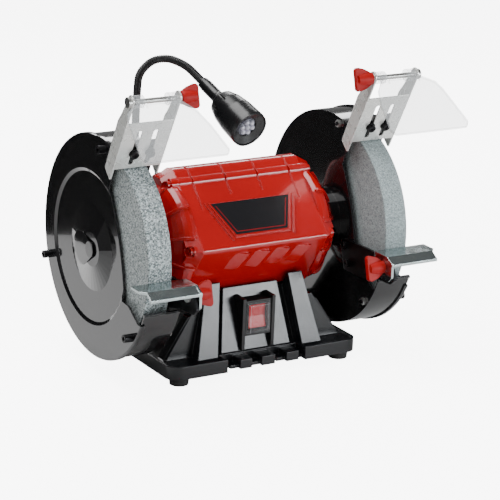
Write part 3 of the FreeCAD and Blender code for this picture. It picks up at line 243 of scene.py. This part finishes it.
# Softened edges: the surface's normal as if its corners were rounded, and where those are
soft_edges, given, result = new_group("soft_edges", [("Radius", "NodeSocketFloat", 0.001)],
                                      [("Normal", "NodeSocketVector"), ("Edge", "NodeSocketFloat")])
bevel = put(soft_edges, "ShaderNodeBevel", Radius=given.outputs["Radius"])
bevel.samples = 6
shape = soft_edges.nodes.new("ShaderNodeNewGeometry")
facing = soft_edges.nodes.new("ShaderNodeVectorMath")
facing.operation = "DOT_PRODUCT"
soft_edges.links.new(bevel.outputs["Normal"], facing.inputs[0])
soft_edges.links.new(shape.outputs["Normal"], facing.inputs[1])
edge = spread(soft_edges, facing.outputs["Value"], 1.0, 0.0, 0.75, 0.99)
soft_edges.links.new(bevel.outputs["Normal"], result.inputs["Normal"])
soft_edges.links.new(edge, result.inputs["Edge"])

# Broad cloudiness and a fine grain, both 0 to 1
clouds, given, result = new_group("clouds",
                                  [("Scale", "NodeSocketFloat", 30.0), ("Grain", "NodeSocketFloat", 900.0)],
                                  [("Cloud", "NodeSocketFloat"), ("Speck", "NodeSocketFloat")])
place = clouds.nodes.new("ShaderNodeTexCoord").outputs["Object"]
broad = put(clouds, "ShaderNodeTexNoise", Vector=place, Scale=given.outputs["Scale"],
            Detail=4.0, Roughness=0.55)
fine = put(clouds, "ShaderNodeTexNoise", Vector=place, Scale=given.outputs["Grain"],
           Detail=3.0, Roughness=0.6)
clouds.links.new(broad.outputs["Fac"], result.inputs["Cloud"])
clouds.links.new(fine.outputs["Fac"], result.inputs["Speck"])

# Moulded skin: tiny pits and crests left by the mould's eroded steel
moulded_skin, given, result = new_group("moulded_skin", [("Size", "NodeSocketFloat", 0.0006)],
                                        [("Height", "NodeSocketFloat")])
place = moulded_skin.nodes.new("ShaderNodeTexCoord").outputs["Object"]
count = calculate(moulded_skin, "DIVIDE", 1.0, given.outputs["Size"])
cells = put(moulded_skin, "ShaderNodeTexVoronoi", Vector=place, Scale=count)
ripples = put(moulded_skin, "ShaderNodeTexNoise", Vector=place, Scale=count, Detail=2.0)
total = calculate(moulded_skin, "ADD", cells.outputs["Distance"], ripples.outputs["Fac"])
moulded_skin.links.new(total, result.inputs["Height"])


def use(tree, group, **values):
    """Places a shader group in a material with its own values."""
    node = tree.nodes.new("ShaderNodeGroup")
    node.node_tree = group
    for label, value in values.items():
        node.inputs[label].default_value = value
    return node.outputs


def raise_bumps(tree, shader, height, strength, depth, normal=None):
    """Feeds a height to the shader as bumps, over a normal if there is one."""
    bump = put(tree, "ShaderNodeBump", Height=height, Strength=strength, Distance=depth)
    if normal is not None:
        tree.links.new(normal, bump.inputs["Normal"])
    tree.links.new(bump.outputs["Normal"], shader.inputs["Normal"])


FACET_CREASE = math.radians(28)


def dress(finish, *names):
    """Gives loaded pieces a material and shades their round faces smooth."""
    for name in names:
        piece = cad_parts[name]
        piece.data.materials.clear()
        piece.data.materials.append(finish)
        piece.data.shade_smooth()
        piece.data.set_sharp_from_angle(angle=FACET_CREASE)
        even = piece.modifiers.new("even_shading", "WEIGHTED_NORMAL")
        even.keep_sharp = True
        even.weight = 100


def moulded_black(name, tint, roughness, skin, edge_radius):
    """Black moulded plastic: eroded skin, slight cloudiness in its gloss and edges paler in cloudy patches.
    """
    made, tree, shader = new_material(name, tint, roughness)
    edges = use(tree, soft_edges, Radius=edge_radius)
    cloud = use(tree, clouds, Scale=45.0, Grain=1400.0)
    surface = use(tree, moulded_skin, Size=skin)
    # Paler colour along edges, in patches that follow the cloudiness.
    pale_edge_patches = calculate(tree, "MULTIPLY", edges["Edge"], cloud["Cloud"])
    pale = tuple(channel * 3.0 + 0.006 for channel in tint)
    tree.links.new(blend_colour(tree, pale_edge_patches, tint, pale), shader.inputs["Base Color"])
    gloss = spread(tree, cloud["Cloud"], roughness * 0.85, roughness * 1.2, 0.3, 0.7)
    tree.links.new(gloss, shader.inputs["Roughness"])
    raise_bumps(tree, shader, surface["Height"], 0.25, 0.00008, edges["Normal"])
    return made


base_black = moulded_black("base_nylon", (0.005, 0.0056, 0.007), 0.22, 0.0007, 0.0012)
dress(base_black, "base_housing")
fitting_black = moulded_black("fitting_nylon", (0.005, 0.005, 0.0055), 0.24, 0.0005, 0.0006)
dress(fitting_black, "cable_gland", "switch_bezel", "lamp_socket", "terminal_block", "run_capacitor")


# Rubber feet ----------------------------------------------------------------------------------
# Four short pads of matt black rubber, each bored for a bench screw and pressed up into the
# base's ledge.

rubber, tree, shader = new_material("foot_rubber", (0.012, 0.012, 0.012), 0.75)
cloud = use(tree, clouds, Scale=120.0, Grain=2500.0)
tree.links.new(spread(tree, cloud["Cloud"], 0.62, 0.85), shader.inputs["Roughness"])
tone = blend_colour(tree, cloud["Cloud"], (0.009, 0.009, 0.009), (0.022, 0.021, 0.02))
tree.links.new(tone, shader.inputs["Base Color"])
raise_bumps(tree, shader, cloud["Speck"], 0.4, 0.00015, use(tree, soft_edges, Radius=0.001)["Normal"])
dress(rubber, "rubber_feet")


# Steel screws, bolts and turned parts ---------------------------------------------------------
# Zinc-plated bolts and nuts, bright turned steel on the shaft, flanges and bearings, blackened
# screws and rest arms, and the motor's laminations and copper windings.

def plain_steel(name, tint, roughness, scale, marks):
    """Plain or plated metal: cloudy tone, gloss and fine marks that vary, softened edges."""
    made, tree, shader = new_material(name, tint, roughness, 1.0)
    edges = use(tree, soft_edges, Radius=0.0004)
    cloud = use(tree, clouds, Scale=scale, Grain=scale * 18)
    dark = tuple(channel * 0.72 for channel in tint)
    tree.links.new(blend_colour(tree, cloud["Cloud"], dark, tint), shader.inputs["Base Color"])
    gloss = spread(tree, cloud["Speck"], roughness * 0.7, roughness * 1.4)
    tree.links.new(gloss, shader.inputs["Roughness"])
    raise_bumps(tree, shader, cloud["Speck"], marks, 0.00005, edges["Normal"])
    return made


zinc = plain_steel("zinc_plate", (0.62, 0.62, 0.6), 0.32, 160.0, 0.25)
dress(zinc, "motor_bolts", "cover_nuts", "cover_spacers", "rocker_pin", "rest_bolts", "arbor_nuts",
      "left_hinge_bolt", "right_hinge_bolt")
turned_steel = plain_steel("turned_steel", (0.56, 0.57, 0.58), 0.24, 220.0, 0.3)
dress(turned_steel, "shaft", "wheel_flanges", "bearing_outer_rings", "bearing_inner_rings",
      "bearing_balls", "bearing_cages")
core_steel = plain_steel("lamination_steel", (0.3, 0.31, 0.33), 0.45, 120.0, 0.5)
dress(core_steel, "stator_core", "rotor_core")
black_steel = plain_steel("blackened_steel", (0.03, 0.03, 0.032), 0.36, 160.0, 0.3)
dress(black_steel, "cover_screws", "bracket_screws", "guard_screws", "arm_screws",
      "left_rest_arm", "right_rest_arm", "bottom_plate")
copper = plain_steel("winding_copper", (0.75, 0.36, 0.2), 0.35, 260.0, 0.9)
dress(copper, "stator_windings")


# Motor housing and end caps -------------------------------------------------------------------
# Die-cast shell and its two bell-shaped ends with their screws, all sprayed together in thick
# gloss red enamel.

def enamel(name, tint, deep, roughness, edge_radius):
    """Sprayed gloss enamel: a little orange peel, tone that drifts, and a painted highlight in paler colour
    along edges.
    """
    made, tree, shader = new_material(name, tint, roughness)
    edges = use(tree, soft_edges, Radius=edge_radius)
    cloud = use(tree, clouds, Scale=14.0, Grain=420.0)
    tone = blend_colour(tree, cloud["Cloud"], deep, tint)
    # Painted highlight: the colour turns paler along edges, where the gloss would catch the light.
    painted_highlight = tuple(min(1.0, channel * 1.4 + 0.02) for channel in tint)
    mask = calculate(tree, "MULTIPLY", edges["Edge"], 0.6)
    tree.links.new(blend_colour(tree, mask, tone, painted_highlight), shader.inputs["Base Color"])
    gloss = spread(tree, cloud["Cloud"], roughness * 0.8, roughness * 1.25)
    tree.links.new(gloss, shader.inputs["Roughness"])
    shader.inputs["Coat Weight"].default_value = 0.7
    shader.inputs["Coat Roughness"].default_value = 0.04
    shader.inputs["Specular IOR Level"].default_value = 0.35
    raise_bumps(tree, shader, cloud["Speck"], 0.12, 0.0001, edges["Normal"])
    return made


red_enamel = enamel("red_enamel", (0.49, 0.0022, 0.0026), (0.35, 0.0014, 0.0018), 0.2, 0.0016)
dress(red_enamel, "motor_housing", "left_end_cap", "right_end_cap", "end_cap_screws")


# Label panel ----------------------------------------------------------------------------------
# Black plastic plate let into the slope of the housing, printed with a thin dark red line that
# stands a hair above it.

MM = 0.001
SLOPE_FOOT = Vector((0, -72.7, 132.1)) * MM
SLOPE_UP = Vector((0, 0.7113, 0.7028))
SLOPE_OUT = Vector((0, -0.7028, 0.7113))
PANEL_LOW, PANEL_HIGH = 15.0, 51.0
PANEL_HALF_LOW, PANEL_HALF_HIGH = 29.0, 44.0
LOW_CREEP, HIGH_CREEP = 0.667, 1.5      # how far a corner moves in for each unit of inset
LINE_OUTSIDE, LINE_INSIDE = 2.4, 3.3
LINE_TOP, LINE_FOOT = 0.42, 0.2


def on_panel(x, up, out):
    """A point on the label's slope: across, up from the nose and out, in millimetres."""
    return SLOPE_FOOT + (Vector((x, 0, 0)) + SLOPE_UP * up + SLOPE_OUT * out) * MM


def line_corners(inset, out):
    """The printed line's four corners at this distance in from the panel's edge."""
    low, high = PANEL_LOW + inset, PANEL_HIGH - inset
    half_low = PANEL_HALF_LOW - LOW_CREEP * inset
    half_high = PANEL_HALF_HIGH - HIGH_CREEP * inset
    flat = [(-half_high, high), (-half_low, low), (half_low, low), (half_high, high)]
    return [on_panel(x, up, out) for x, up in flat]


def label_print(name, tint):
    """A printed film whose gloss drifts a little; returns it with its shader and fine grain."""
    made, tree, shader = new_material(name, tint, 0.3)
    cloud = use(tree, clouds, Scale=60.0, Grain=1200.0)
    tree.links.new(spread(tree, cloud["Cloud"], 0.24, 0.36), shader.inputs["Roughness"])
    return made, tree, shader, cloud["Speck"]


label_black, tree, shader, speck = label_print("label_black", (0.008, 0.008, 0.01))
raise_bumps(tree, shader, speck, 0.08, 0.00005)
dress(label_black, "label_panel")

line_red = label_print("label_line", (0.3, 0.006, 0.01))[0]
corners = []
for out in (LINE_TOP, LINE_FOOT):
    corners += line_corners(LINE_OUTSIDE, out) + line_corners(LINE_INSIDE, out)
strip = []
for i in range(3):
    strip.append((i, i + 1, i + 5, i + 4))
    strip.append((i, i + 8, i + 9, i + 1))
    strip.append((i + 4, i + 5, i + 13, i + 12))
    strip.append((i + 8, i + 12, i + 13, i + 9))
strip += [(0, 4, 12, 8), (3, 11, 15, 7)]
label_line = mesh_piece("label_line", corners, strip, line_red, False)
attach(label_line, "base")


# Guards and covers ----------------------------------------------------------------------------
# Pressed sheet steel, stoved in black gloss. The inner guard's collar is screwed to the end cap,
# and three long screws hold the outer cover.

gloss_black = enamel("black_enamel", (0.006, 0.006, 0.0065), (0.004, 0.004, 0.0045), 0.12, 0.0008)
dress(gloss_black, "left_guard", "right_guard", "left_guard_cover", "right_guard_cover")


# Grinding wheels ------------------------------------------------------------------------------
# Vitrified grit, coarse on the left and fine on the right. Each wheel is clamped on the shaft
# between paper blotters and steel flanges.

def bonded_grit(name, rim_tones, side_tones, size):
    """Pressed abrasive: dark and pale grains with painted shade in the pores between them, greyer on its
    sides.
    """
    made, tree, shader = new_material(name, rim_tones[1], 0.85)
    places = tree.nodes.new("ShaderNodeTexCoord").outputs
    grains = put(tree, "ShaderNodeTexVoronoi", Vector=places["Object"], Scale=1 / size)
    tones = tree.nodes.new("ShaderNodeSeparateColor")
    tree.links.new(grains.outputs["Color"], tones.inputs[0])
    pores = put(tree, "ShaderNodeTexNoise", Vector=places["Object"], Scale=0.8 / size,
                Detail=4.0, Roughness=0.7)
    facing = tree.nodes.new("ShaderNodeSeparateXYZ")
    tree.links.new(places["Normal"], facing.inputs[0])
    side = spread(tree, calculate(tree, "ABSOLUTE", facing.outputs["X"]), 0.0, 1.0, 0.4, 0.8)
    mask = spread(tree, tones.outputs[0], 0.0, 1.0, 0.1, 0.9)
    rim_colour = blend_colour(tree, mask, *rim_tones)
    colour = blend_colour(tree, side, rim_colour, blend_colour(tree, mask, *side_tones))
    # Painted shade: the colour darkens in the pores, as if shade lay in them.
    shadow = spread(tree, pores.outputs["Fac"], 0.0, 1.0, 0.36, 0.5)
    pore_shade = tuple(channel * 0.45 for channel in side_tones[0])
    tree.links.new(blend_colour(tree, shadow, pore_shade, colour), shader.inputs["Base Color"])
    height = calculate(tree, "ADD", tones.outputs[1], pores.outputs["Fac"])
    raise_bumps(tree, shader, height, 0.6, size * 0.35)
    return made


coarse_grit = bonded_grit("coarse_grit", ((0.16, 0.2, 0.205), (0.74, 0.82, 0.83)),
                          ((0.14, 0.165, 0.165), (0.5, 0.54, 0.54)), 0.0012)
dress(coarse_grit, "left_wheel")
fine_grit = bonded_grit("fine_grit", ((0.28, 0.34, 0.345), (0.56, 0.65, 0.66)),
                        ((0.2, 0.23, 0.235), (0.42, 0.46, 0.465)), 0.0008)
dress(fine_grit, "right_wheel")

paper, tree, shader = new_material("blotter_paper", (0.62, 0.52, 0.3), 0.8)
cloud = use(tree, clouds, Scale=90.0, Grain=1800.0)
tone = blend_colour(tree, cloud["Speck"], (0.5, 0.4, 0.22), (0.68, 0.6, 0.4))
tree.links.new(tone, shader.inputs["Base Color"])
raise_bumps(tree, shader, cloud["Speck"], 0.3, 0.0001)
dress(paper, "paper_blotters")


# Spark brackets and tool rests ----------------------------------------------------------------
# Bent galvanised sheet with a faint spangle and a painted highlight along its edges. The brackets are
# pale and the rests nearly mirror-bright; each is held by screws through slots.

def zinc_sheet(name, dark, pale, roughness, metallic):
    """Zinc-coated sheet: faint spangle, cloudy bloom and softened edges with a painted highlight."""
    made, tree, shader = new_material(name, pale, roughness, metallic)
    place = tree.nodes.new("ShaderNodeTexCoord").outputs["Object"]
    spangle = put(tree, "ShaderNodeTexVoronoi", Vector=place, Scale=170.0)
    tones = tree.nodes.new("ShaderNodeSeparateColor")
    tree.links.new(spangle.outputs["Color"], tones.inputs[0])
    cloud = use(tree, clouds, Scale=35.0, Grain=1500.0)
    edges = use(tree, soft_edges, Radius=0.0007)
    tone = blend_colour(tree, spread(tree, tones.outputs[0], 0.3, 0.7), dark, pale)
    bloom = blend_colour(tree, spread(tree, cloud["Cloud"], 0.0, 1.0, 0.35, 0.65), dark, tone)
    # Painted highlight: the colour turns brighter along edges and folds.
    painted_edge_highlight = tuple(min(1.0, channel * 1.12) for channel in pale)
    tree.links.new(blend_colour(tree, edges["Edge"], bloom, painted_edge_highlight), shader.inputs["Base Color"])
    gloss = spread(tree, tones.outputs[1], roughness * 0.8, roughness * 1.25)
    tree.links.new(gloss, shader.inputs["Roughness"])
    raise_bumps(tree, shader, cloud["Speck"], 0.12, 0.00006, edges["Normal"])
    return made


bracket_zinc = zinc_sheet("bracket_zinc", (0.82, 0.825, 0.79), (0.94, 0.945, 0.91), 0.28, 0.55)
dress(bracket_zinc, "left_spark_bracket", "right_spark_bracket")
rest_zinc = zinc_sheet("rest_zinc", (0.42, 0.48, 0.48), (0.56, 0.62, 0.62), 0.17, 1.0)
dress(rest_zinc, "left_tool_rest", "right_tool_rest")


# Eye shields and switch hood ------------------------------------------------------------------
# Clear polycarbonate, with two sleeves on each shield that turn on the hinge bolt, and a soft
# clear hood snapped over the switch. The shields' edges carry painted shade, darker where more of the
# plastic lies in line.

def clear_plastic(name, tint, roughness, edge_radius, scale, grain, gloss, alpha):
    """Clear moulding, see-through on its faces; returns it with its shader and edge mask."""
    made, tree, shader = new_material(name, tint, roughness)
    edges = use(tree, soft_edges, Radius=edge_radius)
    cloud = use(tree, clouds, Scale=scale, Grain=grain)
    tree.links.new(spread(tree, cloud["Cloud"], *gloss), shader.inputs["Roughness"])
    tree.links.new(spread(tree, edges["Edge"], *alpha), shader.inputs["Alpha"])
    tree.links.new(edges["Normal"], shader.inputs["Normal"])
    return made, tree, shader, edges["Edge"]


shield_clear, tree, shader, edge = clear_plastic("clear_polycarbonate", (0.88, 0.9, 0.91), 0.04, 0.0011,
                                                 30.0, 300.0, (0.02, 0.07), (0.3, 0.9))
# Painted shade: the shields' colour turns darker along their edges.
tone = blend_colour(tree, edge, (0.6, 0.62, 0.63), (0.16, 0.18, 0.19))
tree.links.new(tone, shader.inputs["Base Color"])
dress(shield_clear, "left_eye_shield", "right_eye_shield")

hood_clear = clear_plastic("hood_clear", (0.8, 0.8, 0.82), 0.06, 0.0008,
                           60.0, 500.0, (0.04, 0.1), (0.05, 0.5))[0]
dress(hood_clear, "switch_cover")


# Knobs and switch key -------------------------------------------------------------------------
# Red moulded plastic: satin wing knobs that screw down on the hinge and rest bolts, and the
# switch's glossy rocking key.

def moulded_red(name, tint, roughness):
    """Red moulded plastic with a faint grain and softened corners."""
    made, tree, shader = new_material(name, tint, roughness)
    edges = use(tree, soft_edges, Radius=0.0009)
    cloud = use(tree, clouds, Scale=70.0, Grain=900.0)
    deep = tuple(channel * 0.75 for channel in tint)
    tree.links.new(blend_colour(tree, cloud["Cloud"], deep, tint), shader.inputs["Base Color"])
    gloss = spread(tree, cloud["Speck"], roughness * 0.85, roughness * 1.2)
    tree.links.new(gloss, shader.inputs["Roughness"])
    shader.inputs["Specular IOR Level"].default_value = 0.3
    raise_bumps(tree, shader, cloud["Speck"], 0.1, 0.0001, edges["Normal"])
    return made


knob_red = moulded_red("knob_red", (0.42, 0.0015, 0.001), 0.5)
dress(knob_red, "left_shield_knob", "right_shield_knob", "left_rest_knob", "right_rest_knob")
rocker_red = moulded_red("rocker_red", (0.55, 0.003, 0.008), 0.16)
dress(rocker_red, "switch_rocker")


# Lamp neck ------------------------------------------------------------------------------------
# Wound steel strip in black: a hollow ribbed tube that keeps the bend it is given. It turns in
# the socket at its foot and carries the ferrule at its end.

NECK_ROUTE = [Vector(corner) * MM for corner in (
    (-78.5, 60, 178), (-80, 56, 220), (-82, 50, 261), (-83.5, 44, 285),
    (-74, 34, 299.5), (-60.5, 24.5, 302.2), (-50.5, 7.1, 297.3), (-46.4, -23.6, 284.5))]
NECK_R = 4.05 * MM
RIB_PITCH = 2.0 * MM
RIB_DEEP = 0.75 * MM
STEPS_TO_A_RIB = 6
STEM_R = 2.2 * MM          # slim inside the socket, so that it can turn there
STEM_CLEAR = 0.6 * MM      # how far the stem stands out of the socket
STEM_LONG = (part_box("lamp_socket")[1][2] + STEM_CLEAR) - NECK_ROUTE[0].z


def rounded_route(corners, step):
    """Points along straight runs joined by arcs, about one step apart."""
    found = [corners[0]]

    def run_to(end):
        """Adds a straight run from the last point."""
        start = found[-1]
        count = max(1, round((end - start).length / step))
        found.extend(start.lerp(end, i / count) for i in range(1, count + 1))

    for before, corner, after in zip(corners, corners[1:], corners[2:]):
        reach = 0.45 * min((before - corner).length, (after - corner).length)
        back, onward = (before - corner).normalized(), (after - corner).normalized()
        half = back.angle(onward) / 2
        radius = reach * math.tan(half)
        centre = corner + (back + onward).normalized() * (radius / math.sin(half))
        run_to(corner + back * reach)
        first, last = corner + back * reach - centre, corner + onward * reach - centre
        count = max(2, round(first.angle(last) * radius / step))
        found.extend(centre + first.slerp(last, i / count) * radius for i in range(1, count + 1))
    run_to(corners[-1])
    return found


def swept(name, route, radius_at, around, finish):
    """A tube along a route, its radius given by the distance along, closed at both ends."""
    points, faces = [], []
    way = (route[1] - route[0]).normalized()
    side = way.orthogonal().normalized()
    travelled = 0.0
    for index, middle in enumerate(route):
        if index:
            travelled += (middle - route[index - 1]).length
        onward = (route[min(index + 1, len(route) - 1)] - route[max(index - 1, 0)]).normalized()
        side = (side - onward * side.dot(onward)).normalized()
        other = onward.cross(side)
        radius = radius_at(travelled)
        for turn in range(around):
            angle = 2 * math.pi * turn / around
            points.append(middle + (side * math.cos(angle) + other * math.sin(angle)) * radius)
    for index in range(len(route) - 1):
        for turn in range(around):
            here, beside = index * around + turn, index * around + (turn + 1) % around
            faces.append((here, beside, beside + around, here + around))
    faces.append(tuple(reversed(range(around))))
    faces.append(tuple(range((len(route) - 1) * around, len(route) * around)))
    return mesh_piece(name, points, faces, finish)


def ribbed(travelled):
    """The neck's radius: a plain slim stem inside its socket, then ribs."""
    if travelled < STEM_LONG:
        return STEM_R
    return NECK_R - RIB_DEEP * (0.5 + 0.5 * math.cos(2 * math.pi * travelled / RIB_PITCH)) ** 2


neck_black = moulded_black("neck_black", (0.006, 0.006, 0.0065), 0.28, 0.0005, 0.0003)
neck = swept("ribbed_neck", rounded_route(NECK_ROUTE, RIB_PITCH / STEPS_TO_A_RIB), ribbed, 28, neck_black)
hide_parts("lamp_neck")
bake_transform(neck)


# Lamp head ------------------------------------------------------------------------------------
# Satin black bell on a ferrule, with a rolled rim. A small board sits in the well of its dish and
# carries seven clear diodes, each in its own bright cup.

head_black = moulded_black("head_black", (0.005, 0.0052, 0.006), 0.26, 0.0006, 0.0008)
dress(head_black, "lamp_collar", "lamp_head")
board, tree, shader = new_material("lamp_board", (0.25, 0.25, 0.3), 0.4)
cloud = use(tree, clouds, Scale=200.0, Grain=1500.0)
tree.links.new(spread(tree, cloud["Cloud"], 0.3, 0.5), shader.inputs["Roughness"])
dress(board, "lamp_board")
diode, tree, shader = new_material("diode_lens", (0.8, 0.79, 0.9), 0.08)
shader.inputs["Transmission Weight"].default_value = 0.3
cloud = use(tree, clouds, Scale=300.0, Grain=1500.0)
tree.links.new(spread(tree, cloud["Cloud"], 0.05, 0.14), shader.inputs["Roughness"])
dress(diode, "lamp_diodes")

HEAD_WAY = (NECK_ROUTE[-1] - NECK_ROUTE[-2]).normalized()
BOARD_TOP = 70.7
DIODE_RING = 6.0
RIM_PROFILE = [(76.6, 17.6), (77.1, 17.75), (77.3, 18.1), (77.1, 18.45), (76.6, 18.6)]
CUP_PROFILE = [(BOARD_TOP, 2.56), (BOARD_TOP, 2.95), (BOARD_TOP + 1.1, 2.95), (BOARD_TOP + 1.1, 2.7)]


def turned_piece(name, profile, centre, finish, around=64):
    """A closed ring turned about the head's own way, from (along, radius) points in millimetres."""
    side = HEAD_WAY.orthogonal().normalized()
    other = HEAD_WAY.cross(side)
    points, faces = [], []
    for turn in range(around):
        angle = 2 * math.pi * turn / around
        outward = side * math.cos(angle) + other * math.sin(angle)
        points += [centre + (HEAD_WAY * along + outward * radius) * MM for along, radius in profile]
    count = len(profile)
    for turn in range(around):
        for i in range(count):
            here, ahead = turn * count, (turn + 1) % around * count
            faces.append((here + i, here + (i + 1) % count, ahead + (i + 1) % count, ahead + i))
    return mesh_piece(name, points, faces, finish)


rim_ring = turned_piece("lamp_rim_ring", RIM_PROFILE, NECK_ROUTE[-1], head_black)
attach(rim_ring, "lamp")

cup_steel = plain_steel("cup_steel", (0.5, 0.5, 0.55), 0.3, 120.0, 0.2)
to_head = Vector((0, 0, 1)).rotation_difference(HEAD_WAY)
turns = [2 * math.pi * step / 6 for step in range(6)]
diode_places = [Vector((math.cos(turn), math.sin(turn), 0)) * DIODE_RING for turn in turns]
diode_places.append(Vector())
for index, place in enumerate(diode_places):
    centre = NECK_ROUTE[-1] + (to_head @ place) * MM
    cup = turned_piece(f"diode_cup_{index + 1}", CUP_PROFILE, centre, cup_steel, 32)
    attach(cup, "lamp")
